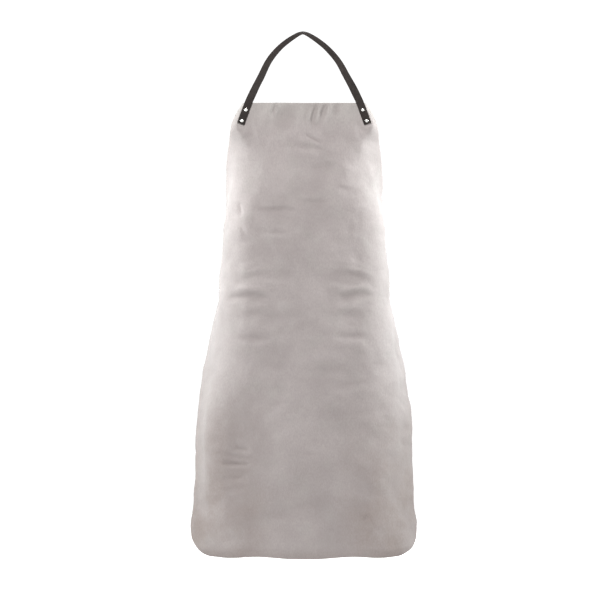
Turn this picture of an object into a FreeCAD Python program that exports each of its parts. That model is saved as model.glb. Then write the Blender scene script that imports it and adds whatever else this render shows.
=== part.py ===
"""Split-leather bib apron with a riveted neck strap and a buckled waist strap.

Frame: millimetres, +Z up, the apron's front faces -Y and +X is to the right of someone
facing it. The origin is the hook seat: the middle of the underside of the neck strap,
where the strap passes over whatever the apron hangs from.
"""
import FreeCAD
import Part
import math
import os
import Sketcher

V = FreeCAD.Vector

# ---------------------------------------------------------------- driving dimensions
SIZES = {
    # hide
    "apron_length": 1070,
    "hide_thickness": 2,
    "top_drop": 168,           # hook seat down to the top edge of the bib
    "hem_corner": 55,          # radius of the bottom corners, seen from the front
    # straps
    "strap_width": 18,
    "strap_thickness": 2.4,
    "layer_gap": 0.15,         # air between riveted layers
    # waist strap
    "waist_drop": 440,         # top edge down to the middle of the waist strap
    "waist_lap": 48,           # strap's overlap on the panel's flank
    "waist_bend": 80,          # radius of the waist strap round the wearer's sides
    "buckle_plane": 196,       # depth of the buckle frame behind the hook seat
    "fold_length": 34,         # strap turned back from the heel bar
    "fold_gap": 0.1,           # air between the two plies of the fold
    "fold_ease": 8,            # radius at which the turned-back ply closes up
    "fold_rivet_back": 26,     # heel bar to the rivet that holds the fold
    "tongue_gap": 1,           # air between the buckle's fold and the tongue over it
    "tongue_reach": 75,        # heel bar to the tongue's tip
    "tongue_corner": 8.5,      # rounding of the tip
    "spare_hole": 2,           # radius of the spare holes
    "spare_spacing": 22,
    "slot_half": 2,            # half the height of the slots the prong passes
    # rivets
    "rivet_hole": 2.05,
    "cap_radius": 3.8,
    "cap_height": 1.5,
    "cap_edge": 1.1,
    "cap_depth": 0.7,          # how far the stem enters the cap's head
    "base_radius": 3.6,
    "base_height": 0.8,
    "stem_radius": 1.5,
    "bore_radius": 1.53,
    "socket_radius": 2,
    "socket_start": 1.2,       # height of the socket's mouth above the base
    "rivet_air": 0.1,          # air under each rivet head
    # buckle
    "rod_radius": 1.5,
    "bar_air": 0.15,           # air between the heel bar and its fold
    "frame_length": 26,        # heel bar to end bar, between rod centres
    "frame_height": 23,        # between rod centres
    "frame_corner": 2.4,
    "prong_bore": 1.6,
    "prong_eye": 3.2,
    "prong_height": 3,
    "prong_width": 2.4,
    "prong_length": 28,
    "prong_air": 0.05,         # air between the resting prong and the end bar
    # keeper
    "keeper_length": 8,
    "keeper_wall": 1.8,
    "keeper_air": 0.4,
    "keeper_back": 53,         # heel bar to the middle of the keeper
}

# Rows of the panel from the top edge down: drop below the top edge, half-width of the
# flat hide, half-width that shows from the front, and depth of the front surface.
# The hide that doesn't show is wrapped round the wearer's sides.
PANEL_ROWS = (
    (0, 146, 146, -40),
    (25, 162, 162, -40),
    (55, 173.5, 173.5, -40),
    (90, 180, 178.5, -40.5),
    (130, 194, 183.5, -42.5),
    (180, 225, 187, -46),
    (240, 269, 188.5, -49),
    (300, 303, 190, -51),
    (370, 305, 197.5, -51),
    (425, 305, 206, -51),
    (455, 305, 206, -51),
    (500, 305, 215, -51),
    (560, 305, 229, -52),
    (690, 305, 251.5, -54),
    (760, 305, 259, -56),
    (860, 305, 260.5, -59),
    (940, 305, 262.5, -62),
    (1000, 305, 270.5, -64),
    (1070, 305, 272, -66),
)
FRONT_SHARE = 0.42        # part of the half-width that is the gently curved front
TURN_SHARE = 0.40         # part that turns round the side; the rest is the flank
FRONT_TURN = 0.12         # share of the wrap angle that the front takes

# Half of the neck strap's centre line, from the hook seat to its riveted end: distance
# from the middle, depth, height above the top edge, and twist in degrees. The strap
# lies flat on the panel at its ends and nearly flat on the hook.
NECK_ROUTE = (
    (0, -0.3, 169.2, 66),
    (8.5, -0.5, 166.5, 60),
    (18, -2, 160.5, 54),
    (35.6, -7, 148, 47),
    (52.5, -12.5, 134, 43),
    (65, -17.5, 120, 39),
    (75.5, -22.5, 105.5, 35),
    (85, -27, 90.5, 31),
    (93.5, -31, 76, 27),
    (101.8, -34.5, 61, 23),
    (109.5, -37.5, 46, 17),
    (117, -39.7, 31, 10),
    (124.2, -41.0, 16, 4),
    (130.3, -41.3, 3, 1),
    (134.2, -41.35, -7, 0),
    (139.3, -41.35, -21, 0),
    (144.4, -41.35, -35, 0),
    (149.5, -41.35, -49, 0),
)
NECK_FLAT_ROWS = 4                  # the last rows, straight and flat on the panel
NECK_RIVET_DROPS = (16.5, 42)       # below the top edge
WAIST_RIVET_INSETS = (12, 36)       # from the panel's edge
PRONG_START = (2, 1.55)             # where the prong's arm leaves its eye
FOLD_SLOT = (-5.5, 6)               # slot for the prong's eye, from the heel bar
TONGUE_SLOT = (4.6, 17.6)           # slot for the prong's arm, from the heel bar
SPARE_HOLES = (-2, -1, 1, 2, 3)     # holes either side of the one in use
CUT_THROUGH = 600
RIVET_CUT = 16


def read_sizes(doc):
    """Writes the driving dimensions to a sheet with aliases and reads them back."""
    sheet = doc.addObject("Spreadsheet::Sheet", "Sizes")
    for row, (alias, value) in enumerate(SIZES.items(), start=1):
        sheet.set(f"A{row}", alias)
        sheet.set(f"B{row}", str(value))
        sheet.setAlias(f"B{row}", alias)
    doc.recompute()
    return {alias: float(getattr(sheet, alias)) for alias in SIZES}


# ---------------------------------------------------------------- document helpers
def new_body(doc, name):
    body = doc.addObject("PartDesign::Body", name)
    body.Label = name
    return body


def new_sketch(body, name, role, offset=None):
    """A sketch on one of the body's own origin planes."""
    sketch = body.newObject("Sketcher::SketchObject", name)
    plane = next(f for f in body.Origin.OriginFeatures if f.Role == role)
    sketch.AttachmentSupport = (plane, [""])
    sketch.MapMode = "FlatFace"
    if offset is not None:
        sketch.AttachmentOffset = offset
    return sketch


def draw(sketch, edges):
    for edge in edges:
        sketch.addGeometry(edge, False)


def straight(start, end):
    return Part.LineSegment(start, end)


def curved(start, middle, end):
    """An arc through three points, or a line where they are in line."""
    if (middle - start).cross(end - start).Length < 1e-6:
        return Part.LineSegment(start, end)
    return Part.Arc(start, middle, end)


def bound_circle(sketch, alias, sizes, centre=(0, 0)):
    """A circle whose radius is bound to the sheet."""
    circle = Part.Circle(V(centre[0], centre[1], 0), V(0, 0, 1), sizes[alias])
    index = sketch.addGeometry(circle, False)
    number = sketch.addConstraint(Sketcher.Constraint("Radius", index, sizes[alias]))
    sketch.setExpression(f"Constraints[{number}]", f"Sizes.{alias}")
    return index


def pad(body, name, sketch, length):
    feature = body.newObject("PartDesign::Pad", name)
    feature.Profile = sketch
    feature.setExpression("Length", length)
    return feature


def pocket_both_ways(body, name, sketch, length):
    """A pocket cut to both sides of its sketch."""
    feature = body.newObject("PartDesign::Pocket", name)
    feature.Profile = sketch
    feature.SideType = "Symmetric"
    feature.Length = length
    return feature


def drill(body, name, place, sizes):
    """A rivet hole along the local Z axis of the placement."""
    sketch = new_sketch(body, f"{name}_sketch", "XY_Plane", place)
    bound_circle(sketch, "rivet_hole", sizes)
    pocket_both_ways(body, name, sketch, RIVET_CUT)


def rounded_corner(sketch, corner, outward, radius):
    """Draws what is cut away to round a square corner that points outward."""
    side = V(outward[0], 0, 0)
    end = V(0, outward[1], 0)
    tip = V(corner[0], corner[1], 0)
    beyond = radius / 2
    first = tip - side * radius
    last = tip - end * radius
    middle = tip - (side + end) * radius * (1 - math.sqrt(0.5))
    draw(sketch, [
        curved(first, middle, last),
        straight(last, last + side * beyond),
        straight(last + side * beyond, tip + (side + end) * beyond),
        straight(tip + (side + end) * beyond, first + end * beyond),
        straight(first + end * beyond, first),
    ])


def slot(sketch, start, end, level, half):
    """A slot with round ends that runs along X."""
    draw(sketch, [
        straight(V(start, level - half, 0), V(end, level - half, 0)),
        curved(V(end, level - half, 0), V(end + half, level, 0), V(end, level + half, 0)),
        straight(V(end, level + half, 0), V(start, level + half, 0)),
        curved(V(start, level + half, 0), V(start - half, level, 0), V(start, level - half, 0)),
    ])


def bound_rectangle(sketch, sizes, width_alias, height_alias):
    """A centred rectangle whose sides are bound to the sheet."""
    x, y = sizes[width_alias] / 2, sizes[height_alias] / 2
    corners = [V(-x, -y, 0), V(x, -y, 0), V(x, y, 0), V(-x, y, 0)]
    draw(sketch, [straight(a, b) for a, b in zip(corners, corners[1:] + corners[:1])])
    for line in range(4):
        sketch.addConstraint(Sketcher.Constraint("Coincident", line, 2, (line + 1) % 4, 1))
        level = "Horizontal" if line % 2 == 0 else "Vertical"
        sketch.addConstraint(Sketcher.Constraint(level, line))
    sketch.addConstraint(Sketcher.Constraint("Symmetric", 0, 1, 2, 1, -1, 1))
    for line, kind, alias in ((0, "DistanceX", width_alias), (1, "DistanceY", height_alias)):
        size = Sketcher.Constraint(kind, line, 1, line, 2, sizes[alias])
        number = sketch.addConstraint(size)
        sketch.setExpression(f"Constraints[{number}]", f"Sizes.{alias}")


def frame_at(point, x_axis, z_axis):
    """A placement whose local X and Z run along the given directions."""
    turn = FreeCAD.Rotation(x_axis, V(0, 0, 0), z_axis, "ZXY")
    return FreeCAD.Placement(point, turn)


# ---------------------------------------------------------------- the panel's shape
def half_section(flat, wrap, inset=0.0):
    """Half a row, from its middle to its edge, inset from the outer face.

    Returns six (x, depth) pairs: the middle of the front, half way and the end of the
    front's curve, half way and the end of the turn, and the end of the flank.
    """
    lean = FRONT_TURN * wrap
    points = [(0.0, inset)]
    for share, first, last in ((FRONT_SHARE, 0.0, lean), (TURN_SHARE, lean, wrap)):
        x, depth = points[-1]
        for part in (0.5, 1.0):
            if last - first < 1e-9:
                points.append((x + flat * share * part, depth))
                continue
            radius = flat * share / (last - first) - inset
            angle = first + (last - first) * part
            points.append((
                x + radius * (math.sin(angle) - math.sin(first)),
                depth + radius * (math.cos(first) - math.cos(angle)),
            ))
    x, depth = points[-1]
    flank = flat * (1 - FRONT_SHARE - TURN_SHARE)
    points.append((x + flank * math.cos(wrap), depth + flank * math.sin(wrap)))
    return points


def wrap_angle(flat, shown):
    """The wrap that makes a half-width of hide show the given half-width."""
    if flat - shown < 0.01:
        return 0.0
    low, high = 0.0, math.radians(100)
    for _ in range(50):
        middle = (low + high) / 2
        if half_section(flat, middle)[-1][0] > shown:
            low = middle
        else:
            high = middle
    return (low + high) / 2


def section_edges(flat, shown, depth, thickness):
    """Closed outline of one row: outer face, edge, inner face, edge."""
    wrap = wrap_angle(flat, shown)
    faces = []
    for inset in (0.0, thickness):
        right = [V(x, y + depth, 0) for x, y in half_section(flat, wrap, inset)]
        left = [V(-p.x, p.y, 0) for p in right]
        faces.append((left, right, [
            straight(left[5], left[4]),
            curved(left[4], left[3], left[2]),
            curved(left[2], right[0], right[2]),
            curved(right[2], right[3], right[4]),
            straight(right[4], right[5]),
        ]))
    (outer_left, outer_right, outer), (inner_left, inner_right, inner) = faces
    right_edge = straight(outer_right[5], inner_right[5])
    left_edge = straight(inner_left[5], outer_left[5])
    return outer + [right_edge] + inner[::-1] + [left_edge]


def waist_flank(sizes):
    """Edge of the outer face at the waist and the flank's direction, on the +X side."""
    _, flat, shown, depth = next(r for r in PANEL_ROWS if r[0] >= sizes["waist_drop"])
    wrap = wrap_angle(flat, shown)
    x, y = half_section(flat, wrap)[-1]
    return V(x, y + depth, 0), V(math.cos(wrap), math.sin(wrap), 0)


# ---------------------------------------------------------------- where things go
def waist_level(sizes):
    return -sizes["top_drop"] - sizes["waist_drop"]


def stack_height(sizes):
    """One strap riveted to the hide."""
    return sizes["hide_thickness"] + sizes["layer_gap"] + sizes["strap_thickness"]


def ply_offset(sizes):
    """From the heel bar's centre to the middle of the strap that is folded round it."""
    return sizes["rod_radius"] + sizes["bar_air"] + sizes["strap_thickness"] / 2


def neck_rivet_places(sizes):
    """Where each neck rivet's base sits: behind the panel, pointing to the front."""
    first, last = NECK_ROUTE[-NECK_FLAT_ROWS], NECK_ROUTE[-1]
    lean = (last[0] - first[0]) / (first[2] - last[2])
    depth = PANEL_ROWS[0][3] + sizes["hide_thickness"]
    places = {}
    for side, hand in (("left", -1), ("right", 1)):
        for level, drop in zip(("upper", "lower"), NECK_RIVET_DROPS):
            reach = first[0] + lean * (first[2] + drop)
            point = V(hand * reach, depth, -sizes["top_drop"] - drop)
            places[f"neck_rivet_{side}_{level}"] = frame_at(point, V(0, 0, 1), V(0, -1, 0))
    return places


def waist_rivet_places(sizes):
    """Where each waist rivet's base sits: inside the strap, pointing outwards."""
    edge, along = waist_flank(sizes)
    outward = V(along.y, -along.x, 0)
    places = {}
    for side, hand in (("left", -1), ("right", 1)):
        for order, inset in zip(("rear", "front"), WAIST_RIVET_INSETS):
            spot = edge - along * inset - outward * stack_height(sizes)
            point = V(hand * spot.x, spot.y, waist_level(sizes))
            facing = V(hand * outward.x, outward.y, 0)
            places[f"waist_rivet_{side}_{order}"] = frame_at(point, V(0, 0, 1), facing)
    return places


def fold_rivet_place(sizes):
    """Base of the rivet that closes the buckle's fold, pointing towards the wearer."""
    x = -sizes["frame_length"] / 2 - sizes["fold_rivet_back"]
    y = sizes["buckle_plane"] + ply_offset(sizes) + sizes["strap_thickness"] / 2
    return frame_at(V(x, y, waist_level(sizes)), V(0, 0, 1), V(0, -1, 0))


# ---------------------------------------------------------------- strips of leather
def strip_outline(start, heading, moves, thickness, hand=1):
    """Outline of a strip laid along runs and bends, seen from above.

    A move is ("run", length) or ("bend", radius, degrees), positive to the left. A hand
    of -1 mirrors the strip to the other side of the apron.
    """
    sides = {thickness / 2: [], -thickness / 2: []}
    point, angle = V(start), heading

    def beside(where, facing, offset):
        return where + V(-math.sin(facing), math.cos(facing), 0) * offset

    for move in moves:
        if move[0] == "run":
            end = point + V(math.cos(angle), math.sin(angle), 0) * move[1]
            for offset, corners in sides.items():
                corners.append((beside(point, angle, offset), beside(end, angle, offset)))
            point = end
            continue
        radius, swing = move[1], math.radians(move[2])
        bend = math.copysign(radius, swing)
        centre = beside(point, angle, bend)
        for offset, corners in sides.items():
            corners.append(tuple(
                beside(centre, angle + swing * share, offset - bend)
                for share in (0.0, 0.5, 1.0)
            ))
        angle += swing
        point = beside(centre, angle, -bend)

    left, right = sides.values()
    around = left + [(left[-1][-1], right[-1][-1])]
    around += [corners[::-1] for corners in reversed(right)]
    around.append((right[0][0], left[0][0]))
    edges = []
    for corners in around:
        placed = [V(hand * p.x, p.y, 0) for p in corners]
        edges.append(straight(*placed) if len(placed) == 2 else curved(*placed))
    return edges


def waist_moves(sizes, goal):
    """The strip from the panel's flank round the side to the given depth.

    Returns its start, its heading, its moves and how far from the middle it ends.
    """
    edge, along = waist_flank(sizes)
    heading = math.atan2(along.y, along.x)
    inside = stack_height(sizes) - sizes["strap_thickness"] / 2
    start = edge - along * sizes["waist_lap"] + V(-along.y, along.x, 0) * inside
    radius = sizes["waist_bend"]
    first = (goal - radius * (1 + math.cos(heading)) - start.y) / math.sin(heading)
    reached = start.x + first * math.cos(heading) - radius * math.sin(heading)
    swing = 180 - math.degrees(heading)
    return start, heading, [("run", first), ("bend", radius, swing)], reached


def waist_strip(body, name, sizes, outline):
    """Pads a strip's outline to the strap's width, centred on the waist."""
    low = waist_level(sizes) - sizes["strap_width"] / 2
    sketch = new_sketch(body, f"{name}_path", "XY_Plane", FreeCAD.Placement(
        V(0, 0, low), FreeCAD.Rotation()))
    level = "-Sizes.top_drop - Sizes.waist_drop - Sizes.strap_width / 2"
    sketch.setExpression("AttachmentOffset.Base.z", level)
    draw(sketch, outline)
    pad(body, f"{name}_pad", sketch, "Sizes.strap_width")


# ---------------------------------------------------------------- sub-parts
def apron_panel(doc, sizes):
    """The hide: a thin wall lofted through its rows, with round bottom corners."""
    body = new_body(doc, "apron_panel")
    rows = []
    for number, (drop, flat, shown, depth) in enumerate(PANEL_ROWS):
        sketch = new_sketch(body, f"panel_row_{number:02d}", "XY_Plane", FreeCAD.Placement(
            V(0, 0, -sizes["top_drop"] - drop), FreeCAD.Rotation()))
        sketch.setExpression("AttachmentOffset.Base.z", f"-Sizes.top_drop - {drop}")
        draw(sketch, section_edges(flat, shown, depth, sizes["hide_thickness"]))
        rows.append(sketch)
    doc.recompute()
    loft = body.newObject("PartDesign::AdditiveLoft", "hide_loft")
    loft.Profile = rows[0]
    loft.Sections = rows[1:]
    loft.Ruled = True
    doc.recompute()

    corners = new_sketch(body, "hem_corners_sketch", "XZ_Plane")
    hem = -sizes["top_drop"] - sizes["apron_length"]
    for hand in (-1, 1):
        corner = (hand * PANEL_ROWS[-1][2], hem)
        rounded_corner(corners, corner, (hand, -1), sizes["hem_corner"])
    pocket_both_ways(body, "hem_corners", corners, CUT_THROUGH)
    places = {**neck_rivet_places(sizes), **waist_rivet_places(sizes)}
    for name, place in places.items():
        drill(body, f"{name}_panel_hole", place, sizes)
    return body


def neck_strap(doc, sizes):
    """One strap, lofted through sections that twist from the panel to the hook."""
    body = new_body(doc, "neck_strap")
    half = [(V(x, y, rise - sizes["top_drop"]), twist) for x, y, rise, twist in NECK_ROUTE]
    left = [(V(-p.x, p.y, p.z), twist) for p, twist in reversed(half)]
    stations = left + half[1:]
    sections = []
    for number, (point, twist) in enumerate(stations):
        before = stations[max(number - 1, 0)][0]
        after = stations[min(number + 1, len(stations) - 1)][0]
        along = V(after - before).normalize()
        inward = along.cross(V(0, -1, 0)).normalize()
        facing = inward.cross(along)
        turn = math.radians(twist)
        across = inward * math.cos(turn) + facing * math.sin(turn)
        sketch = new_sketch(
            body, f"neck_section_{number:02d}", "XY_Plane", frame_at(point, across, along))
        bound_rectangle(sketch, sizes, "strap_width", "strap_thickness")
        sections.append(sketch)
    doc.recompute()
    loft = body.newObject("PartDesign::AdditiveLoft", "neck_loft")
    loft.Profile = sections[0]
    loft.Sections = sections[1:]
    doc.recompute()
    for name, place in neck_rivet_places(sizes).items():
        drill(body, f"{name}_strap_hole", place, sizes)
    return body


def waist_strap_left(doc, sizes):
    """Buckle half of the waist strap, folded round the heel bar and riveted."""
    body = new_body(doc, "waist_strap_left")
    ply = ply_offset(sizes)
    heel = -sizes["frame_length"] / 2
    start, heading, moves, reached = waist_moves(sizes, sizes["buckle_plane"] + ply)
    step = 2 * ply - sizes["strap_thickness"] - sizes["fold_gap"]
    ease = math.acos(1 - step / 2 / sizes["fold_ease"])
    eased = 2 * sizes["fold_ease"] * math.sin(ease)
    moves += [
        ("run", reached + heel),
        ("bend", ply, 180),
        ("bend", sizes["fold_ease"], math.degrees(ease)),
        ("bend", sizes["fold_ease"], -math.degrees(ease)),
        ("run", sizes["fold_length"] - eased),
    ]
    outline = strip_outline(start, heading, moves, sizes["strap_thickness"], hand=-1)
    waist_strip(body, "buckle_strap", sizes, outline)
    opening = new_sketch(body, "fold_slot_sketch", "XZ_Plane")
    first, last = (heel + along for along in FOLD_SLOT)
    slot(opening, first, last, waist_level(sizes), sizes["slot_half"])
    pocket_both_ways(body, "fold_slot", opening, CUT_THROUGH)
    for name, place in waist_rivet_places(sizes).items():
        if "left" in name:
            drill(body, f"{name}_strap_hole", place, sizes)
    drill(body, "fold_rivet_hole", fold_rivet_place(sizes), sizes)
    return body


def waist_strap_right(doc, sizes):
    """Tongue half of the waist strap, threaded through the buckle."""
    body = new_body(doc, "waist_strap_right")
    ply = ply_offset(sizes)
    span = sizes["frame_length"]
    over = ply + sizes["strap_thickness"] + sizes["tongue_gap"]
    start, heading, moves, reached = waist_moves(sizes, sizes["buckle_plane"] - ply)
    swing = 2 * math.atan2(over + ply, span)
    radius = span / 2 / math.sin(swing)
    moves += [
        ("run", reached - span / 2),
        ("bend", radius, -math.degrees(swing)),
        ("bend", radius, math.degrees(swing)),
        ("run", sizes["tongue_reach"]),
    ]
    outline = strip_outline(start, heading, moves, sizes["strap_thickness"])
    waist_strip(body, "tongue_strap", sizes, outline)

    level = waist_level(sizes)
    cuts = new_sketch(body, "tongue_cuts_sketch", "XZ_Plane")
    tip = -span / 2 - sizes["tongue_reach"]
    for hand in (-1, 1):
        corner = (tip, level + hand * sizes["strap_width"] / 2)
        rounded_corner(cuts, corner, (-1, hand), sizes["tongue_corner"])
    first, last = (along - span / 2 for along in TONGUE_SLOT)
    slot(cuts, first, last, level, sizes["slot_half"])
    for number in SPARE_HOLES:
        hole = (number * sizes["spare_spacing"], level)
        bound_circle(cuts, "spare_hole", sizes, hole)
    pocket_both_ways(body, "tongue_cuts", cuts, CUT_THROUGH)
    for name, place in waist_rivet_places(sizes).items():
        if "right" in name:
            drill(body, f"{name}_strap_hole", place, sizes)
    return body


def buckle_frame(doc, sizes):
    """A round rod bent to a rectangle; the rod at -X is the heel bar."""
    body = new_body(doc, "buckle_frame")
    x, z = sizes["frame_length"] / 2, sizes["frame_height"] / 2
    corner = sizes["frame_corner"]
    bow = corner * (1 - math.sqrt(0.5))
    spine = new_sketch(body, "frame_spine", "XZ_Plane")
    ends = ((x, -z, 1, -1), (x, z, 1, 1), (-x, z, -1, 1), (-x, -z, -1, -1))
    marks = []
    for cx, cz, sx, sz in ends:
        upright = V(cx, cz - sz * corner, 0)
        level = V(cx - sx * corner, cz, 0)
        middle = V(cx - sx * bow, cz - sz * bow, 0)
        marks.append((level, middle, upright) if sx * sz < 0 else (upright, middle, level))
    for here, following in zip(marks, marks[1:] + marks[:1]):
        draw(spine, [curved(*here), straight(here[2], following[0])])
    section = new_sketch(body, "frame_rod", "XY_Plane")
    bound_circle(section, "rod_radius", sizes, (-x, 0))
    doc.recompute()
    pipe = body.newObject("PartDesign::AdditivePipe", "frame_pipe")
    pipe.Profile = section
    pipe.Spine = spine
    body.Placement.Base = V(0, sizes["buckle_plane"], waist_level(sizes))
    return body


def buckle_prong(doc, sizes):
    """The prong: an eye round the heel bar and an arm that rests on the end bar."""
    body = new_body(doc, "buckle_prong")
    eye = new_sketch(body, "prong_eye_sketch", "XY_Plane")
    bound_circle(eye, "prong_eye", sizes)
    pad(body, "prong_eye_pad", eye, "Sizes.prong_height")
    arm = new_sketch(body, "prong_arm_sketch", "XY_Plane")
    rest = sizes["rod_radius"] + sizes["prong_air"] + sizes["prong_width"] / 2
    heading = math.atan2(rest - PRONG_START[1], sizes["frame_length"] - PRONG_START[0])
    draw(arm, strip_outline(
        V(*PRONG_START, 0), heading, [("run", sizes["prong_length"])], sizes["prong_width"]))
    pad(body, "prong_arm_pad", arm, "Sizes.prong_height")
    bore = new_sketch(body, "prong_bore_sketch", "XY_Plane")
    bound_circle(bore, "prong_bore", sizes)
    pocket_both_ways(body, "prong_bore_cut", bore, CUT_THROUGH)
    body.Placement.Base = V(
        -sizes["frame_length"] / 2,
        sizes["buckle_plane"],
        waist_level(sizes) - sizes["prong_height"] / 2,
    )
    return body


def strap_keeper(doc, sizes):
    """A leather loop that slides along the buckled straps and holds the tongue down."""
    body = new_body(doc, "strap_keeper")
    air, wall = sizes["keeper_air"], sizes["keeper_wall"]
    ply = ply_offset(sizes)
    thickness = sizes["strap_thickness"]
    low = ply - thickness / 2 - air
    high = ply + sizes["tongue_gap"] + thickness * 1.5 + air
    half = sizes["strap_width"] / 2 + air
    loop = new_sketch(body, "keeper_loop", "YZ_Plane")
    for grow in (0, wall):
        corners = [
            V(low - grow, -half - grow, 0),
            V(high + grow, -half - grow, 0),
            V(high + grow, half + grow, 0),
            V(low - grow, half + grow, 0),
        ]
        draw(loop, [straight(a, b) for a, b in zip(corners, corners[1:] + corners[:1])])
    pad(body, "keeper_pad", loop, "Sizes.keeper_length")
    body.Placement.Base = V(
        -sizes["frame_length"] / 2 - sizes["keeper_back"] - sizes["keeper_length"] / 2,
        sizes["buckle_plane"],
        waist_level(sizes),
    )
    return body


HIDE_STACK = "Sizes.hide_thickness + Sizes.layer_gap + Sizes.strap_thickness"
FOLD_STACK = "Sizes.strap_thickness * 2 + Sizes.fold_gap"


def cylinder(doc, name, radius, height, base):
    """A cylinder along Z whose radius, height and base level follow the sheet."""
    shape = doc.addObject("Part::Cylinder", name)
    shape.setExpression("Radius", radius)
    shape.setExpression("Height", height)
    shape.setExpression("Placement.Base.z", base)
    return shape


def joined(doc, kind, name, base, tool):
    result = doc.addObject(kind, name)
    result.Base = base
    result.Tool = tool
    return result


def rivet(doc, name, place, stack):
    """A two-piece rivet: a domed cap with a socket, and a base with a stem."""
    head = cylinder(doc, f"{name}_head", "Sizes.cap_radius", "Sizes.cap_height",
                    f"{stack} + Sizes.rivet_air")
    doc.recompute()
    top = max(range(len(head.Shape.Edges)), key=lambda i: head.Shape.Edges[i].CenterOfMass.z)
    dome = doc.addObject("Part::Fillet", f"{name}_dome")
    dome.Base = head
    edge = SIZES["cap_edge"]
    dome.Edges = [(top + 1, edge, edge)]
    socket = cylinder(doc, f"{name}_socket", "Sizes.socket_radius",
                      f"{stack} + 2 * Sizes.rivet_air - Sizes.socket_start",
                      "Sizes.socket_start")
    bore = cylinder(doc, f"{name}_bore", "Sizes.bore_radius",
                    f"{stack} + Sizes.rivet_air + Sizes.cap_depth", "0")
    solid = joined(doc, "Part::Fuse", f"{name}_solid", dome, socket)
    cap = joined(doc, "Part::Cut", f"{name}_cap", solid, bore)
    cap.Label = f"{name}_cap"
    cap.Placement = place

    disc = cylinder(doc, f"{name}_disc", "Sizes.base_radius", "Sizes.base_height",
                    "-Sizes.base_height - Sizes.rivet_air")
    stem = cylinder(doc, f"{name}_stem", "Sizes.stem_radius",
                    f"{stack} + Sizes.cap_depth / 2 + 2 * Sizes.rivet_air",
                    "-2 * Sizes.rivet_air")
    base = joined(doc, "Part::Fuse", f"{name}_base", disc, stem)
    base.Label = f"{name}_base"
    base.Placement = place
    return [cap, base]


# ---------------------------------------------------------------- build and write
def build(doc, sizes):
    parts = [
        apron_panel(doc, sizes),
        neck_strap(doc, sizes),
        waist_strap_left(doc, sizes),
        waist_strap_right(doc, sizes),
        buckle_frame(doc, sizes),
        buckle_prong(doc, sizes),
        strap_keeper(doc, sizes),
    ]
    for name, place in {**neck_rivet_places(sizes), **waist_rivet_places(sizes)}.items():
        parts += rivet(doc, name, place, HIDE_STACK)
    parts += rivet(doc, "fold_rivet", fold_rivet_place(sizes), FOLD_STACK)
    doc.recompute()
    return parts


def check(doc, parts):
    for item in doc.Objects:
        if "Invalid" in item.State or "Error" in item.State:
            raise RuntimeError(f"{item.Label} failed: {item.State}")
    for part in parts:
        if part.Shape.isNull() or not part.Shape.isValid():
            raise RuntimeError(f"{part.Label} has no valid shape")
        if len(part.Shape.Solids) != 1:
            raise RuntimeError(f"{part.Label} has {len(part.Shape.Solids)} solids")


def main():
    doc = FreeCAD.newDocument("apron")
    sizes = read_sizes(doc)
    parts = build(doc, sizes)
    check(doc, parts)
    os.makedirs("parts", exist_ok=True)
    for part in parts:
        part.Shape.exportStep(os.path.join("parts", f"{part.Label}.step"))
        box = part.Shape.BoundBox
        print(f"{part.Label:32s} {part.Shape.Volume:12.2f}"
              f"  x {box.XMin:.1f}..{box.XMax:.1f}"
              f"  y {box.YMin:.1f}..{box.YMax:.1f}  z {box.ZMin:.1f}..{box.ZMax:.1f}")


main()
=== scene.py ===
"""Looks of a split-leather bib apron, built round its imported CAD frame.

The hide is a thin sheet in the worn shape: the same rows as the CAD panel, smoothed,
with soft undulations, pull folds at the waist and creases. Shapes are worked out in
millimetres, and new_object turns them into metres. The studio and the materials are in
metres.
"""
import math

import bpy
import numpy as np
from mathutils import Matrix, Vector, noise


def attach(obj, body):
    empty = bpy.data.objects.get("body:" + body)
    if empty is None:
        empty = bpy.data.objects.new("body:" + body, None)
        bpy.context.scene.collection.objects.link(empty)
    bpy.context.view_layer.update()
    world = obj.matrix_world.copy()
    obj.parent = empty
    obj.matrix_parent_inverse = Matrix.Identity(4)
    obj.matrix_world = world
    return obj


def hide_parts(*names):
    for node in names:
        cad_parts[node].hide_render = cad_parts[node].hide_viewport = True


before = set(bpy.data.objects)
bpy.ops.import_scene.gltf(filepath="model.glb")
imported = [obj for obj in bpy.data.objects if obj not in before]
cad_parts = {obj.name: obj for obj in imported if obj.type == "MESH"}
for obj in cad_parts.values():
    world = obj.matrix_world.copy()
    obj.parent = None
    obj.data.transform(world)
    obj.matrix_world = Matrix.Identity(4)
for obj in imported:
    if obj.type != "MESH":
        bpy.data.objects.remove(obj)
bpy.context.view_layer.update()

MM = 0.001

# ------------------------------------------------------------------ shared dimensions
TOP_DROP = 168          # millimetres from the hook seat down to the bib's top edge
LENGTH = 1070
HIDE = 2.0              # thickness
# drop below the top edge, flat half-width, half-width seen from the front, depth (Y)
PANEL_ROWS = (
    (0, 146, 146, -40),
    (25, 162, 162, -40),
    (55, 173.5, 173.5, -40),
    (90, 180, 178.5, -40.5),
    (130, 194, 183.5, -42.5),
    (180, 225, 187, -46),
    (240, 269, 188.5, -49),
    (300, 303, 190, -51),
    (370, 305, 197.5, -51),
    (425, 305, 206, -51),
    (455, 305, 206, -51),
    (500, 305, 215, -51),
    (560, 305, 229, -52),
    (690, 305, 251.5, -54),
    (760, 305, 259, -56),
    (860, 305, 260.5, -59),
    (940, 305, 262.5, -62),
    (1000, 305, 270.5, -64),
    (1070, 305, 272, -66),
)
ROW_DROPS, ROW_FLATS, ROW_SHOWNS, ROW_DEPTHS = (
    np.array(column, float) for column in zip(*PANEL_ROWS)
)
FRONT_SHARE = 0.42      # share of the half-width that stays nearly flat in front
TURN_SHARE = 0.40       # share over which the hide then turns round the side
FRONT_TURN = 0.12       # share of the whole turn already made across the front
HEM_CORNER = (74, 61)   # width and height of the round bottom corners, on the flat hide
CORNER_PULL = 5         # heights of a corner over which the rows above bend to follow it
HEM_WAVE = 5.0          # rise of the hem either side of its middle
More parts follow.
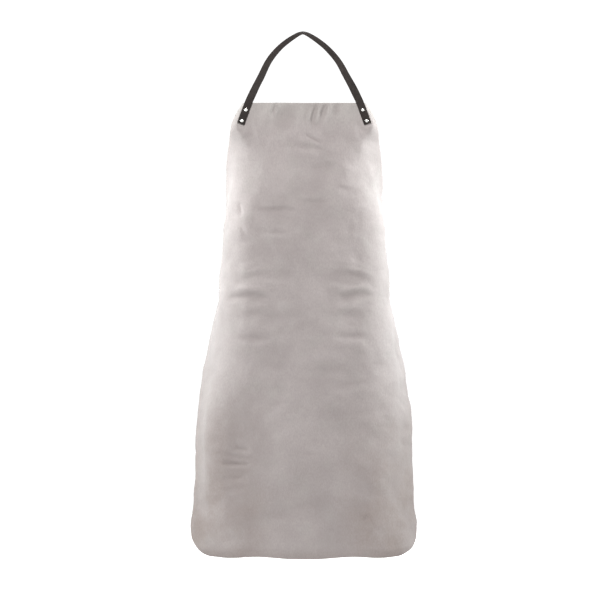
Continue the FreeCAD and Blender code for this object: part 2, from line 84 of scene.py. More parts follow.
WAVE_START = 0.06       # share of the half-width where that rise starts
WAVE_SPAN = 0.62        # share that it takes up
HEM_SAG = 3.0           # how much lower the hem hangs in the middle
SAG_ENDS = (0.5, 0.8)   # shares of the half-width between which the sag dies out
ROW_STEP = 4.0
COLUMNS = 76            # per half
WAIST_DROP = 440        # middle line of the waist strap
WAIST_LAP = 50          # how far its ends reach in over the hide's side edges

# distance from the middle, depth (Y), height above the top edge, twist in degrees
NECK_ROUTE = (
    (0, -0.3, 169.2, 66),
    (8.5, -0.5, 166.5, 60),
    (18, -2, 160.5, 54),
    (35.6, -7, 148, 47),
    (52.5, -12.5, 134, 43),
    (65, -17.5, 120, 39),
    (75.5, -22.5, 105.5, 35),
    (85, -27, 90.5, 31),
    (93.5, -31, 76, 27),
    (101.8, -34.5, 61, 23),
    (109.5, -37.5, 46, 17),
    (117, -39.7, 31, 10),
    (124.2, -41.0, 16, 4),
    (130.3, -41.3, 3, 1),
    (134.2, -41.35, -7, 0),
    (139.3, -41.35, -21, 0),
    (144.4, -41.35, -35, 0),
    (149.5, -41.35, -49, 0),
)
STRAP_TOP, STRAP_TIP = NECK_ROUTE[-4], NECK_ROUTE[-1]   # ends of the riveted straight
STRAP_WIDTH = 18.0
STRAP_THICK = 2.4
STRAP_ROUNDING = 0.7    # of its long edges
STRAP_STEP = 2          # between rings of points along it
TIP_LENGTH = 0.8        # over which each end narrows
TIP_NARROWING = 0.3     # by which it does so on each side
# shares by which the width wanders, and the length that turns each wave one radian
STRAP_WANDER = ((0.012, 23), (0.01, 9.1))
# places along the strap run from -1 at its left end to 1 at its right end
STRAP_SWAY = 5.5        # how far the left half bows outwards
SWAY_PLACE = -0.22      # where it bows most
SWAY_SPAN = 0.3         # how far from there the bow falls to about a third
STRAP_BEND = 0.9        # small kinks near the top
BEND_RATE = 19          # how fast they follow each other
BEND_ENDS = (0.5, 0.7)  # places between which they die out


# ------------------------------------------------------------------ small maths
def through(knots, values, at):
    """A smooth curve through the values that never overshoots them."""
    knots = np.asarray(knots, float)
    values = np.asarray(values, float)
    gaps = np.diff(knots)
    slopes = np.diff(values) / gaps
    tangents = np.zeros(len(knots))
    for i in range(1, len(knots) - 1):
        if slopes[i - 1] * slopes[i] > 0:
            near, far = 2 * gaps[i] + gaps[i - 1], gaps[i] + 2 * gaps[i - 1]
            tangents[i] = (near + far) / (near / slopes[i - 1] + far / slopes[i])
    tangents[0], tangents[-1] = slopes[0], slopes[-1]
    at = np.clip(at, knots[0], knots[-1])
    cell = np.clip(np.searchsorted(knots, at, side="right") - 1, 0, len(gaps) - 1)
    gap = gaps[cell]
    t = (at - knots[cell]) / gap
    return (
        values[cell] * (1 + 2 * t) * (1 - t) ** 2
        + tangents[cell] * gap * t * (1 - t) ** 2
        + values[cell + 1] * t * t * (3 - 2 * t)
        + tangents[cell + 1] * gap * t * t * (t - 1)
    )


def ease(value, low, high):
    """0 below low, 1 above high, smooth between."""
    t = np.clip((value - low) / (high - low), 0, 1)
    return t * t * (3 - 2 * t)


def unit(vectors):
    return vectors / np.linalg.norm(vectors, axis=-1, keepdims=True)


def noise_field(x, y, size, seed):
    """Smooth noise of about -1 to 1 over flat places, with features of a given size."""
    falloff, lacunarity, octaves = 0.6, 2.0, 2
    level = seed * 7.31
    flat = np.empty(x.size)
    for k, (a, b) in enumerate(zip(x.ravel() / size, y.ravel() / size)):
        flat[k] = noise.fractal(Vector((a, b, level)), falloff, lacunarity, octaves)
    return flat.reshape(x.shape)


# ------------------------------------------------------------------ the hide's shape
def turn_profile(share):
    """Share of the wrap angle reached at a share of the half-width."""
    front = FRONT_TURN * share / FRONT_SHARE
    turn = FRONT_TURN + (1 - FRONT_TURN) * (share - FRONT_SHARE) / TURN_SHARE
    return np.where(share < FRONT_SHARE, front, np.minimum(turn, 1.0))


def sections(flat, wrap, shares):
    """Distance from the middle and depth of each column in each row, by adding up steps."""
    middles = (shares[1:] + shares[:-1]) / 2
    angles = wrap[:, None] * turn_profile(middles)[None, :]
    steps = flat[:, None] * np.diff(shares)[None, :]
    zero = np.zeros((len(flat), 1))
    x = np.concatenate([zero, np.cumsum(np.cos(angles) * steps, axis=1)], axis=1)
    y = np.concatenate([zero, np.cumsum(np.sin(angles) * steps, axis=1)], axis=1)
    return x, y


def wrap_angles(flat, shown, shares):
    """The wrap of each row that makes its half-width show as given, by halving a range."""
    widest, halvings = 100, 40
    low, high = np.zeros(len(flat)), np.full(len(flat), math.radians(widest))
    for _ in range(halvings):
        middle = (low + high) / 2
        wide = sections(flat, middle, shares)[0][:, -1] > shown
        low = np.where(wide, middle, low)
        high = np.where(wide, high, middle)
    return (low + high) / 2


def hide_grid():
    """Places of the smooth hide's outer face, and each place's drop and flat offset."""
    rows = np.linspace(0, LENGTH, int(LENGTH / ROW_STEP) + 1)
    shares = np.linspace(0, 1, COLUMNS + 1)
    wraps = wrap_angles(ROW_FLATS, ROW_SHOWNS, shares)

    corner_wide, corner_high = HEM_CORNER
    hem_flat = ROW_FLATS[-1]
    along = np.clip(shares * hem_flat - (hem_flat - corner_wide), 0, corner_wide)
    lift = corner_high * (1 - np.sqrt(1 - (along / corner_wide) ** 2))
    lift -= HEM_SAG * (1 - ease(shares, *SAG_ENDS))
    wave = np.clip((shares - WAVE_START) / WAVE_SPAN, 0, 1)
    lift += HEM_WAVE * (1 - np.cos(2 * math.pi * wave)) / 2
    pull = ease(rows, LENGTH - CORNER_PULL * corner_high, LENGTH) ** 2
    drops = rows[:, None] - lift[None, :] * pull[:, None]

    x = np.empty(drops.shape)
    y = np.empty(drops.shape)
    flat_offset = np.empty(drops.shape)
    for column in range(len(shares)):
        drop = drops[:, column]
        wrap = through(ROW_DROPS, wraps, drop)
        narrowing = sections(np.ones(len(drop)), wrap, shares)[0][:, -1]
        flat = through(ROW_DROPS, ROW_SHOWNS, drop) / narrowing
        xs, ys = sections(flat, wrap, shares)
        x[:, column] = xs[:, column]
        y[:, column] = ys[:, column] + through(ROW_DROPS, ROW_DEPTHS, drop)
        flat_offset[:, column] = flat * shares[column]

    def whole(half, sign):
        return np.concatenate([sign * half[:, :0:-1], half], axis=1)

    points = np.stack([whole(x, -1), whole(y, 1), -TOP_DROP - whole(drops, 1)], axis=-1)
    return points, whole(drops, 1), whole(flat_offset, -1)


def surface_normals(points):
    down = np.gradient(points, axis=0)
    across = np.gradient(points, axis=1)
    return unit(np.cross(down, across))


# Folds and creases of the hide: (middle's offset, middle's drop, direction in degrees,
# length, distance aside at which it falls to about a third, height, bow), in millimetres
# on the flat hide. Direction 0 runs to +X and 90 runs down. A positive height is a ridge,
# a negative one a furrow. Bow pushes the fold's middle down where its direction is 0.
FOLDS = (
    # under the top edge
    (-46, 36, 88, 96, 26, -3.0, 0),
    (-82, 22, 94, 70, 9, 2.2, 2),
    (-72, 18, 116, 44, 5, -1.7, 0),
    (-63, 12, 112, 38, 5, 1.7, 0),
    (-98, 34, 95, 70, 9, 1.3, 0),
    (-8, 32, 92, 90, 11, 2.0, 0),
    (14, 32, 104, 66, 6, 2.1, 2),
    (25, 28, 108, 64, 6, -2.2, 2),
    (36, 24, 110, 60, 6, 2.4, 2),
    (47, 20, 108, 48, 6, -2.0, 2),
    (58, 24, 104, 56, 6, 2.0, 0),
    (78, 16, 96, 44, 7, -1.3, 0),
    (94, 30, 86, 64, 11, 1.3, 0),
    # small folds on the chest
    (20, 84, 32, 54, 4, -2.2, 2),
    (28, 93, 30, 50, 4, 1.9, 2),
    (6, 103, 4, 90, 8, -1.7, 3),
    (2, 116, 4, 104, 11, 1.4, 3),
    (-110, 66, 66, 70, 8, 1.5, 0),
    (-96, 84, 60, 50, 7, -1.2, 0),
    (116, 62, 112, 70, 8, 1.5, 0),
    (104, 84, 118, 56, 7, -1.2, 0),
    (40, 150, -4, 120, 13, -1.4, 2),
    (-30, 170, 6, 120, 15, 1.2, 2),
    # faint creases across the ribs, and two long upright swells
    (96, 192, 12, 60, 6, 0.8, 2),
    (104, 206, 14, 70, 9, -0.8, 2),
    (20, 222, 2, 90, 7, 0.8, 2),
    (18, 232, 2, 90, 8, -0.4, 2),
    (86, 196, 90, 260, 32, 1.9, 0),
    (-172, 196, 90, 280, 34, 2.2, 0),
    (-62, 240, 0, 96, 6, 0.9, 3),
    (-62, 250, 0, 110, 8, -1.5, 3),
    (-66, 304, 2, 84, 6, -1.3, 2),
    (-64, 314, 2, 84, 7, 0.9, 2),
    (-178, 264, 12, 40, 5, -1.8, 0),
    (-154, 252, 78, 40, 5, -1.7, 0),
    (-146, 300, 70, 50, 6, -1.0, 0),
    (118, 300, 100, 60, 9, 0.6, 0),
    (128, 270, 84, 80, 10, -0.6, 0),
    # pull folds at the waist, and a swell between them
    (-118, 384, -10, 90, 9, 1.0, -4),
    (-116, 400, -10, 96, 7, 1.7, -5),
    (-122, 415, -8, 110, 12, -1.2, -6),
    (-66, 425, 8, 60, 8, 0.9, 2),
    (-122, 444, 8, 110, 8, 2.4, -6),
    (-132, 463, 5, 130, 11, -2.1, -7),
    (-168, 460, -4, 90, 7, -1.6, 0),
    (-118, 486, 4, 90, 10, 1.6, -5),
    (-112, 504, 0, 80, 10, -0.9, -4),
    (110, 384, 8, 90, 9, 1.1, -4),
    (112, 398, 8, 104, 7, 1.9, -5),
    (114, 414, 8, 120, 13, -1.3, -7),
    (70, 430, -4, 60, 8, 0.9, 2),
    (112, 444, -10, 100, 8, 2.4, -6),
    (124, 463, -9, 114, 11, -2.1, -8),
    (150, 480, -16, 80, 7, -1.2, -4),
    (108, 487, -6, 90, 10, 1.6, -5),
    (104, 506, -2, 84, 10, -0.9, -4),
    (-4, 470, 90, 150, 46, 1.6, 0),
    # below the waist
    (-30, 500, 2, 90, 10, -1.0, 3),
    (-90, 530, 6, 90, 10, 1.0, 3),
    (-118, 552, 4, 100, 9, -1.7, 4),
    (-112, 566, 4, 100, 10, 1.2, 4),
    (112, 548, -4, 100, 9, -1.8, 4),
    (110, 562, -4, 100, 10, 1.2, 4),
    (20, 540, -4, 100, 10, -0.9, 3),
    (28, 600, -10, 130, 14, 1.3, 4),
    (60, 622, -10, 120, 12, -1.2, 4),
    (-60, 620, 10, 110, 14, -1.0, 4),
    (96, 690, -14, 120, 12, 1.2, 2),
    (112, 660, -12, 110, 10, -1.2, 2),
    (-20, 690, 6, 120, 18, 0.9, 4),
    # low folds, and broad swells that run down to the hem
    (-168, 850, 2, 90, 4, -2.4, 1),
    (-164, 860, 2, 90, 6, 1.5, 1),
    (-168, 834, 12, 60, 5, -1.6, 1),
    (-150, 816, 14, 52, 5, -1.9, 1),
    (-144, 825, 10, 60, 6, 1.2, 1),
    (-176, 884, -4, 90, 6, -1.4, 1),
    (-176, 912, -8, 90, 8, -1.1, 1),
    (11, 826, 2, 46, 4, -1.0, 0),
    (8, 819, 2, 56, 6, 1.2, 0),
    (146, 976, -35, 26, 6, -1.8, 0),
    (150, 966, -35, 30, 5, 1.0, 0),
    (-156, 850, 92, 400, 40, -5.0, 0),
    (-236, 800, 90, 380, 34, 6.0, 0),
    (216, 760, 88, 300, 40, 1.5, 0),
    (150, 905, 95, 220, 30, -2.0, 0),
    (70, 1030, 80, 120, 30, -2.0, 0),
    (-80, 1030, 96, 120, 34, 2.0, 0),
    (190, 1030, 86, 130, 30, 1.5, 0),
)


FOLD_STRENGTH = 1.9     # what every fold's height is multiplied by
# height, size and seed of each layer of undulation, and its squeeze across and down
UNDULATIONS = (
    (2.6, 120, 1, 1, 0.8),
    (2.2, 52, 2, 0.75, 1),
    (0.7, 20, 3, 0.7, 1),
)
# distances from a strap's middle line between which folds and undulations set in
CALM = (STRAP_WIDTH / 2 + 2, STRAP_WIDTH / 2 + 22)

EDGE_CURL = 11.0        # how far back the bib's side edges lie, beside the neck strap
CURL_GROWTH = 1.3       # share by which they lie further back below it
CURL_GROWS = (46, 100)  # drops between which that sets in
CURL_FADES = (90, 190)  # drops between which the curl dies out
CURL_GAP = 1            # from the strap's edge to where the curl starts
CURL_HOLD = 60          # drop down to which the start follows the strap's line
CURL_INWARD = 30        # how far the start then moves in
CURL_WIDENS = (44, 104)     # drops between which it does so

HEM_TUCK = 5.0          # how far back the hem's edge lies
TUCK_HEIGHT = 26        # height of the strip above it that leans back
HEM_DARKENS = (34, 2)   # heights above the hem between which it takes its darker shade
PAINTED_SHADE_FULL_DEPTH = 3.5      # depth at which a fold's hollow takes its full painted shade
RIM = 0.28              # how far the cut edge's middle stands out, in thicknesses


def fold_height(offset, drop, fold):
    """How much one fold lifts each place of the hide."""
    middle, level, direction, length, width, height, bow = fold
    turn = math.radians(direction)
    along = (offset - middle) * math.cos(turn) + (drop - level) * math.sin(turn)
    aside = (drop - level) * math.cos(turn) - (offset - middle) * math.sin(turn)
    half = length / 2
    aside = aside - bow * (1 - (along / half) ** 2)
    fade = np.clip(1 - (along / half) ** 2, 0, None) ** 1.5
    return height * fade * np.exp(-((aside / width) ** 2))


def quiet(offset, drop):
    """0 where straps and rivets hold the hide, 1 away from them."""
    calm = np.ones(offset.shape)
    aside = np.abs(np.abs(offset) - strap_middle(drop))
    beyond = np.clip(drop + STRAP_TIP[2], 0, None)
    calm *= ease(np.hypot(aside, beyond), *CALM)
    from_edge = ROW_FLATS.max() - np.abs(offset)
    lap = np.hypot(np.clip(from_edge - WAIST_LAP, 0, None), np.abs(drop - WAIST_DROP))
    calm *= ease(lap, *CALM)
    return calm


def curl(offset, drop):
    """How far back the bib's side edges lie, outside the neck strap and below it."""
    edge = np.interp(drop, ROW_DROPS, ROW_FLATS)
    start = strap_middle(np.minimum(drop, CURL_HOLD)) + STRAP_WIDTH / 2 + CURL_GAP
    start = start - CURL_INWARD * ease(drop, *CURL_WIDENS)
    share = np.clip((np.abs(offset) - start) / (edge - start), 0, 1)
    amount = EDGE_CURL * (1 + CURL_GROWTH * ease(drop, *CURL_GROWS))
    return amount * share ** 1.5 * (1 - ease(drop, *CURL_FADES))


def strap_middle(drop):
    """Distance from the middle to the riveted strap's centre line."""
    lean = (STRAP_TIP[0] - STRAP_TOP[0]) / (STRAP_TOP[2] - STRAP_TIP[2])
    return STRAP_TOP[0] + lean * (drop + STRAP_TOP[2])


def relief(offset, drop):
    """How far folds and undulations lift the hide off its smooth shape."""
    lift = np.zeros(offset.shape)
    for fold in FOLDS:
        lift += FOLD_STRENGTH * fold_height(offset, drop, fold)
    for height, size, seed, across, down in UNDULATIONS:
        lift += height * noise_field(offset * across, drop * down, size, seed)
    return lift * quiet(offset, drop)


def new_object(name, points, faces):
    mesh = bpy.data.meshes.new(name)
    mesh.from_pydata((np.asarray(points) * MM).tolist(), [], faces)
    mesh.polygons.foreach_set("use_smooth", [True] * len(mesh.polygons))
    mesh.update()
    piece = bpy.data.objects.new(name, mesh)
    bpy.context.scene.collection.objects.link(piece)
    return piece


def hide_piece():
    """The hide as a closed sheet with a rounded cut edge."""
    points, drop, offset = hide_grid()
    folds = relief(offset, drop)
    tuck = HEM_TUCK * ease(drop, LENGTH - TUCK_HEIGHT, LENGTH) ** 2
    outer = points + surface_normals(points) * (folds - tuck)[..., None]
    outer[..., 1] += curl(offset, drop)
    inner = outer - surface_normals(outer) * HIDE
    rows, columns = drop.shape

    def index(i, j):
        return i * columns + j

    count = rows * columns
    faces = []
    for i in range(rows - 1):
        for j in range(columns - 1):
            quad = (index(i, j), index(i + 1, j), index(i + 1, j + 1), index(i, j + 1))
            faces.append(quad)
            faces.append(tuple(count + k for k in reversed(quad)))

    ring = [(0, j) for j in range(columns - 1, 0, -1)]
    ring += [(i, 0) for i in range(rows - 1)]
    ring += [(rows - 1, j) for j in range(columns - 1)]
    ring += [(i, columns - 1) for i in range(rows - 1, 0, -1)]
    edge = []
    for i, j in ring:
        inside = (min(max(i, 1), rows - 2), min(max(j, 1), columns - 2))
        outward = unit(outer[i, j] - outer[inside])
        edge.append((outer[i, j] + inner[i, j]) / 2 + outward * HIDE * RIM)
    for k, (i, j) in enumerate(ring):
        after = (k + 1) % len(ring)
        here, there = index(i, j), index(*ring[after])
        rim, next_rim = 2 * count + k, 2 * count + after
        faces.append((here, rim, next_rim, there))
        faces.append((rim, count + here, count + there, next_rim))
    everything = np.concatenate([outer.reshape(-1, 3), inner.reshape(-1, 3), edge])
    piece = new_object("hide", everything, faces)

    starts, ends = (LENGTH - height for height in HEM_DARKENS)
    near_hem = ease(drop.ravel(), starts, ends) ** 1.5
    # painted shade: the hide is darkened in the hollows of its folds, more the deeper they
    # are
    painted_hollow_shade = np.clip(-folds.ravel() / PAINTED_SHADE_FULL_DEPTH, 0, 1)
    marks = (("edge_wear", np.zeros(count), 1), ("hem", near_hem, 0), ("painted_hollow_shade", painted_hollow_shade, 0))
    for name, on_face, on_edge in marks:
        mark = piece.data.attributes.new(name, "FLOAT", "POINT")
        values = np.concatenate([on_face, on_face, np.full(len(edge), float(on_edge))])
        mark.data.foreach_set("value", values)
    return piece


# ------------------------------------------------------------------ straps
def strap_section(width, thick, rounding):
    """Points round a strap's cross-section, with rounded edges."""
    steps = 3
    outline = []
    for cx, cy, start in ((1, 1, 0), (-1, 1, 90), (-1, -1, 180), (1, -1, 270)):
        for step in range(steps + 1):
            angle = math.radians(start + 90 * step / steps)
            outline.append((
                cx * (width / 2 - rounding) + rounding * math.cos(angle),
                cy * (thick / 2 - rounding) + rounding * math.sin(angle),
            ))
    return np.array(outline)


def neck_strap_piece():
    """The neck strap, swept along its route with its twist."""
    half = np.array(NECK_ROUTE, float)
    left = half[::-1] * (-1, 1, 1, 1)
    route = np.concatenate([left, half[1:]])
    lengths = np.linalg.norm(np.diff(route[:, :3], axis=0), axis=1)
    travelled = np.concatenate([[0], np.cumsum(lengths)])
    at = np.linspace(0, travelled[-1], int(travelled[-1] / STRAP_STEP) + 1)
    x, y, z, twist = (through(travelled, route[:, k], at) for k in range(4))
    share = 2 * at / travelled[-1] - 1
    x = x - STRAP_SWAY * np.exp(-((share - SWAY_PLACE) / SWAY_SPAN) ** 2)
    bend = STRAP_BEND * np.sin(share * BEND_RATE)
    x = x + bend * (1 - ease(np.abs(share), *BEND_ENDS))
    centre = np.stack([x, y, z - TOP_DROP], axis=-1)
    along = unit(np.gradient(centre, axis=0))
    inward = unit(np.cross(along, (0, -1, 0)))
    facing = np.cross(inward, along)
    turn = np.radians(twist)[:, None]
    across = inward * np.cos(turn) + facing * np.sin(turn)
    through_way = np.cross(along, across)
    shape = strap_section(STRAP_WIDTH, STRAP_THICK, STRAP_ROUNDING)
    rings = []
    for k in range(len(at)):
        near = min(at[k], travelled[-1] - at[k])
        shrink = 1 - TIP_NARROWING / STRAP_WIDTH * 2 * max(0, 1 - near / TIP_LENGTH)
        wander = 1
        for amount, length in STRAP_WANDER:
            wander += amount * math.sin(at[k] / length)
        ring = centre[k] + across[k] * shape[:, :1] * shrink * wander
        rings.append(ring + through_way[k] * shape[:, 1:])
    count = len(shape)
    faces = []
    for k in range(len(rings) - 1):
        for m in range(count):
            n = (m + 1) % count
            here, there = k * count, (k + 1) * count
            faces.append((here + m, here + n, there + n, there + m))
    faces.append(tuple(reversed(range(count))))
    faces.append(tuple((len(rings) - 1) * count + m for m in range(count)))
    return new_object("neck_strap_leather", np.concatenate(rings), faces)


# ------------------------------------------------------------------ materials
class Nodes:
    """A material's node tree, with short ways to add what the materials here need."""

    def __init__(self, name):
        self.material = bpy.data.materials.new(name)
        self.material.use_nodes = True
        self.tree = self.material.node_tree
        self.shader = self.tree.nodes["Principled BSDF"]
        self.place = self.add("ShaderNodeTexCoord").outputs["Object"]

    def add(self, kind, **settings):
        node = self.tree.nodes.new(kind)
        for key, value in settings.items():
            setattr(node, key, value)
        return node

    def link(self, source, target):
        self.tree.links.new(source, target)

    def constants(self, **values):
        for key, value in values.items():
            self.shader.inputs[key.replace("_", " ")].default_value = value

    def noise(self, scale, detail=3.0, rough=0.5, stretch=None):
        texture = self.add("ShaderNodeTexNoise")
        texture.inputs["Scale"].default_value = scale
        texture.inputs["Detail"].default_value = detail
        texture.inputs["Roughness"].default_value = rough
        self.link(self.stretched(stretch), texture.inputs["Vector"])
        return texture.outputs["Fac"]

    def cells(self, scale):
        texture = self.add("ShaderNodeTexVoronoi")
        texture.inputs["Scale"].default_value = scale
        self.link(self.place, texture.inputs["Vector"])
        return texture.outputs["Distance"]

    def stretched(self, stretch):
        if stretch is None:
            return self.place
        mapping = self.add("ShaderNodeMapping")
        mapping.inputs["Scale"].default_value = stretch
        self.link(self.place, mapping.inputs["Vector"])
        return mapping.outputs["Vector"]

    def attribute(self, name):
        return self.add("ShaderNodeAttribute", attribute_name=name).outputs["Fac"]

    def ramp(self, value, first, last):
        """A blend from one (position, colour) to another."""
        node = self.add("ShaderNodeValToRGB")
        for element, (position, colour) in zip(node.color_ramp.elements, (first, last)):
            element.position = position
            element.color = (*colour, 1)
        self.link(value, node.inputs["Fac"])
        return node.outputs["Color"]

    def remap(self, value, low, high, to_low, to_high):
        """The value stretched from one range to another, and held inside the new one."""
        node = self.add("ShaderNodeMapRange")
        numbers = {"From Min": low, "From Max": high, "To Min": to_low, "To Max": to_high}
        for key, number in numbers.items():
            node.inputs[key].default_value = number
        self.link(value, node.inputs["Value"])
        return node.outputs["Result"]

    def times(self, first, second):
        node = self.add("ShaderNodeMath", operation="MULTIPLY")
        self.link(first, node.inputs[0])
        self.link(second, node.inputs[1])
        return node.outputs["Value"]

    def mix(self, share, first, second, blend="MIX"):
        node = self.add("ShaderNodeMix", data_type="RGBA", blend_type=blend)
        for key, value in (("Factor", share), ("A", first), ("B", second)):
            socket = next(s for s in node.inputs if s.name == key and s.enabled)
            if isinstance(value, bpy.types.NodeSocket):
                self.link(value, socket)
            elif isinstance(value, tuple):
                socket.default_value = (*value, 1)
            else:
                socket.default_value = value
        return next(s for s in node.outputs if s.enabled)

    def bump(self, height, depth, before=None):
        """A bump over an earlier normal; its depth is in metres."""
        node = self.add("ShaderNodeBump")
        node.inputs["Strength"].default_value = 1.0
        node.inputs["Distance"].default_value = depth
        self.link(height, node.inputs["Height"])
        if before is not None:
            self.link(before, node.inputs["Normal"])
        return node.outputs["Normal"]

    def rounded(self, radius):
        """A normal that softens sharp edges; its radius is in metres."""
        node = self.add("ShaderNodeBevel", samples=4)
        node.inputs["Radius"].default_value = radius
        return node.outputs["Normal"]

    def colour(self, value):
        self.link(value, self.shader.inputs["Base Color"])

    def roughness(self, value):
        self.link(value, self.shader.inputs["Roughness"])

    def normal(self, value):
        self.link(value, self.shader.inputs["Normal"])


# colours of the hide, as linear red, green and blue
GREY = (0.372, 0.330, 0.322)
PALE_GREY = (0.438, 0.390, 0.382)
COOL_GREY = (0.40, 0.375, 0.355)
STAIN = (0.318, 0.268, 0.25)
HEM_GREY = (0.28, 0.236, 0.222)
TOP_GREY = (0.415, 0.405, 0.375)
# painted shade laid into the hollows of the folds
PAINTED_HOLLOW_SHADE_GREY = (0.30, 0.262, 0.255)
CUT_EDGE = (0.52, 0.48, 0.45)
# places on the hide, in metres
STAIN_HEIGHTS = (-0.78, -1.12)      # heights between which the warm stain sets in
STAIN_ASIDE = (0.07, 0.15)          # distances from the middle between which it grows
TOP_HEIGHTS = (-0.235, -0.165)      # heights between which the bib turns cooler

# colours of the straps
BROWN = (0.0185, 0.0145, 0.0135)
PALE_BROWN = (0.034, 0.027, 0.0245)
WORN_BROWN = (0.062, 0.05, 0.044)
DUST = (0.1, 0.082, 0.072)


def split_leather():
    """Grey split leather: short uneven nap, soft mottling, paler cut edges, and painted
    shade in the hollows of its folds.
    """
    m = Nodes("split_leather")
    base = m.ramp(m.noise(9, 4, 0.55), (0.3, GREY), (0.7, PALE_GREY))
    cool = m.remap(m.noise(22, 3, 0.5), 0.5, 0.75, 0, 0.35)
    mottled = m.mix(cool, base, COOL_GREY)
    place = m.add("ShaderNodeSeparateXYZ")
    m.link(m.place, place.inputs["Vector"])
    low = m.remap(place.outputs["Z"], *STAIN_HEIGHTS, 0, 1)
    aside = m.add("ShaderNodeMath", operation="ABSOLUTE")
    m.link(place.outputs["X"], aside.inputs[0])
    outer = m.remap(aside.outputs["Value"], *STAIN_ASIDE, 0.15, 1.0)
    warm = m.remap(m.noise(13, 4, 0.6), 0.32, 0.64, 0.3, 1.0)
    stain = m.times(m.times(low, warm), outer)
    mottled = m.mix(stain, mottled, STAIN)
    hem = m.remap(m.attribute("hem"), 0, 1, 0, 0.55)
    mottled = m.mix(hem, mottled, HEM_GREY)
    high = m.remap(place.outputs["Z"], *TOP_HEIGHTS, 0, 0.4)
    mottled = m.mix(high, mottled, TOP_GREY)
    nap = m.remap(m.noise(420, 4, 0.65, (1, 1, 0.45)), 0.3, 0.7, 0.84, 1.12)
    shaded = m.mix(0.6, mottled, nap, "MULTIPLY")
    # painted shade: the colour darkens in the fold hollows, where shade would fall
    painted_hollow_shade = m.remap(m.attribute("painted_hollow_shade"), 0, 1, 0, 0.35)
    shaded = m.mix(painted_hollow_shade, shaded, PAINTED_HOLLOW_SHADE_GREY)
    edge = m.remap(m.attribute("edge_wear"), 0, 1, 0, 0.5)
    m.colour(m.mix(edge, shaded, CUT_EDGE))
    m.roughness(m.remap(m.noise(60, 3), 0.3, 0.7, 0.82, 0.97))
    fibres = m.bump(m.noise(1500, 3, 0.6, (1, 1, 0.5)), 0.00012)
    tufts = m.bump(m.noise(260, 4, 0.6, (1, 1, 0.6)), 0.0005, fibres)
    m.normal(m.bump(m.noise(45, 4, 0.55), 0.001, tufts))
    m.constants(Sheen_Weight=0.25, Sheen_Roughness=0.45, Specular_IOR_Level=0.25)
    return m.material


def strap_leather():
    """Dark brown finished leather: pebble grain, worn patches and specks of dust."""
    m = Nodes("strap_leather")
    base = m.ramp(m.noise(30, 4, 0.6), (0.3, BROWN), (0.72, PALE_BROWN))
    worn = m.remap(m.noise(140, 5, 0.7), 0.52, 0.74, 0, 0.5)
    rubbed = m.mix(worn, base, WORN_BROWN)
    dust = m.remap(m.noise(700, 4, 0.7), 0.58, 0.74, 0, 0.4)
    m.colour(m.mix(dust, rubbed, DUST))
    m.roughness(m.remap(m.noise(90, 4), 0.3, 0.7, 0.46, 0.7))
    grain = m.bump(m.cells(620), 0.00032, m.rounded(0.0005))
    m.normal(m.bump(m.noise(150, 4, 0.6), 0.0005, grain))
    m.constants(Specular_IOR_Level=0.14)
    return m.material


def nickel(name, tint, low, high):
    """Plated metal with fine scratches, small dull spots and uneven polish."""
    duller = tuple(c * 0.88 for c in tint)
    dark_spot = tuple(c * 0.55 for c in tint)
    m = Nodes(name)
    base = m.ramp(m.noise(240, 4, 0.6), (0.3, duller), (0.7, tint))
    spots = m.remap(m.noise(900, 3, 0.6), 0.6, 0.72, 0, 0.5)
    m.colour(m.mix(spots, base, dark_spot))
    m.roughness(m.remap(m.noise(500, 5, 0.65), 0.3, 0.75, low, high))
    scratches = m.bump(m.noise(900, 3, 0.6, (1, 0.12, 1)), 0.00003, m.rounded(0.0003))
    m.normal(m.bump(m.noise(160, 3), 0.00008, scratches))
    m.constants(Metallic=1.0)
    return m.material


def dress(piece, material):
    piece.data.materials.clear()
    piece.data.materials.append(material)


# ------------------------------------------------------------------ studio
COOL = (0.94, 1, 1)     # a light with a little less red
# each light's place, what it faces, its width and height, its power, and any colour
LIGHTS = {
    "top": ((-0.2, -1.6, 1.15), (0, 0, -0.6), (0.9, 0.5), 45),
    "key": ((-0.6, -3.6, -0.4), (0, 0, -1.0), (1.6, 1.2), 5),
    "left_high": ((-1.1, 0.08, -0.27), (-0.15, 0, -0.29), (0.6, 0.7), 17.2, COOL),
    "right_high": ((1.1, 0.08, -0.13), (0.15, 0, -0.18), (0.6, 0.6), 22, COOL),
    "back": ((0.6, 2.8, 0.6), (0, 0, -0.6), (2.0, 2.0), 42),
}
WORLD_LIGHT = 0.11
# how much brighter the room is where the eye or polished metal sees it
ROOM_EXTRAS = (("Is Camera Ray", 1.0), ("Is Glossy Ray", 0.65))
EYE = (-0.0101, -6.05, -0.6322)
REFERENCE_DEPTH = -0.05     # Y of the plane that the picture's width is measured in
FRAME_WIDTH = 1.411         # metres across the picture at the reference depth
SENSOR_WIDTH = 36           # millimetres
FLOOR_RADIUS = 3.4
FLOOR_LEVEL = -1.42
FLOOR_GLOW = (0.3, 1.0)     # the floor's own light, in front and behind
GLOW_GROWS = (0.2, 0.65)    # Y between which it grows


def make_camera():
    data = bpy.data.cameras.new("camera")
    camera = bpy.data.objects.new("camera", data)
    bpy.context.scene.collection.objects.link(camera)
    camera.location = EYE
    camera.rotation_euler = (math.radians(90), 0, 0)
    data.sensor_width = SENSOR_WIDTH
    data.lens = data.sensor_width * (REFERENCE_DEPTH - EYE[1]) / FRAME_WIDTH
    data.clip_end = 100
    bpy.context.scene.camera = camera


def soft_light(name, place, target, size, power, colour=(1, 1, 1)):
    data = bpy.data.lights.new(name, "AREA")
    data.shape = "RECTANGLE"
    data.size, data.size_y = size
    data.energy = power
    data.color = colour
    light = bpy.data.objects.new(name, data)
    light.location = place
    aim = Vector(target) - Vector(place)
    light.rotation_euler = aim.to_track_quat("-Z", "Y").to_euler()
    bpy.context.scene.collection.objects.link(light)


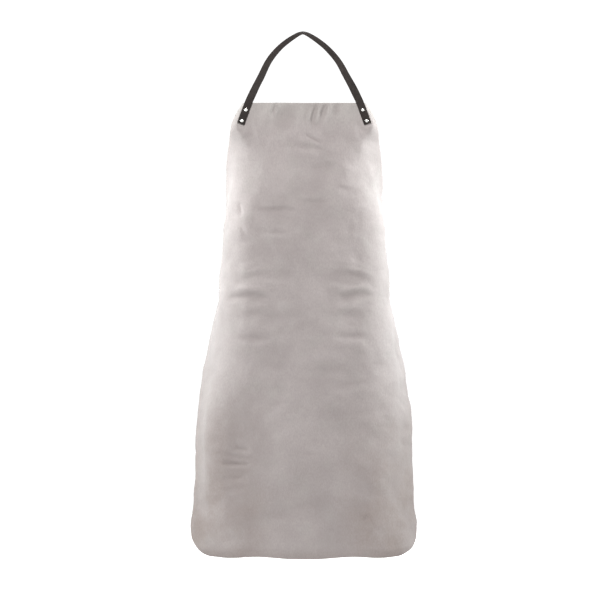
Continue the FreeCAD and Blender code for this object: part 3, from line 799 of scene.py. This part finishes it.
def make_world():
    """A white room: white to the eye and in polished metal, gentler as a light."""
    world = bpy.data.worlds.new("white_room")
    world.use_nodes = True
    tree = world.node_tree
    path = tree.nodes.new("ShaderNodeLightPath")
    total = WORLD_LIGHT
    for ray, extra in ROOM_EXTRAS:
        step = tree.nodes.new("ShaderNodeMath")
        step.operation = "MULTIPLY_ADD"
        tree.links.new(path.outputs[ray], step.inputs[0])
        step.inputs[1].default_value = extra
        if isinstance(total, float):
            step.inputs[2].default_value = total
        else:
            tree.links.new(total, step.inputs[2])
        total = step.outputs["Value"]
    white = tree.nodes["Background"]
    white.inputs["Color"].default_value = (1, 1, 1, 1)
    tree.links.new(total, white.inputs["Strength"])
    bpy.context.scene.world = world
    bpy.context.scene.view_settings.view_transform = "Standard"


def make_floor():
    """A round pale floor, well below the hem."""
    bpy.ops.mesh.primitive_circle_add(vertices=96, radius=FLOOR_RADIUS, fill_type="NGON",
                                      location=(0, 0, FLOOR_LEVEL))
    floor = bpy.context.object
    floor.name = "studio_floor"
    m = Nodes("pale_floor")
    m.colour(m.ramp(m.noise(3, 2), (0.3, (0.88, 0.88, 0.88)), (0.7, (0.9, 0.9, 0.9))))
    m.constants(Roughness=0.9)
    m.shader.inputs["Emission Color"].default_value = (1, 1, 1, 1)
    parts = m.add("ShaderNodeSeparateXYZ")
    m.link(m.place, parts.inputs["Vector"])
    glow = m.remap(parts.outputs["Y"], *GLOW_GROWS, *FLOOR_GLOW)
    m.link(glow, m.shader.inputs["Emission Strength"])
    dress(floor, m.material)


# ------------------------------------------------------------------ assembly
def main():
    make_camera()
    make_world()
    make_floor()
    for name, light in LIGHTS.items():
        soft_light(name, *light)

    hide_leather = split_leather()
    strap = strap_leather()
    bright = nickel("rivet_nickel", (0.9, 0.89, 0.86), 0.16, 0.34)
    plated = nickel("buckle_nickel", (0.6, 0.59, 0.56), 0.22, 0.45)

    hide = hide_piece()
    dress(hide, hide_leather)
    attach(hide, "apron")
    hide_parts("apron_panel")

    neck = neck_strap_piece()
    dress(neck, strap)
    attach(neck, "apron")
    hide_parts("neck_strap")

    for name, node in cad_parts.items():
        if "rivet" in name:
            dress(node, bright)
        elif "buckle" in name:
            dress(node, plated)
        elif name not in ("apron_panel", "neck_strap"):
            dress(node, strap)


main()
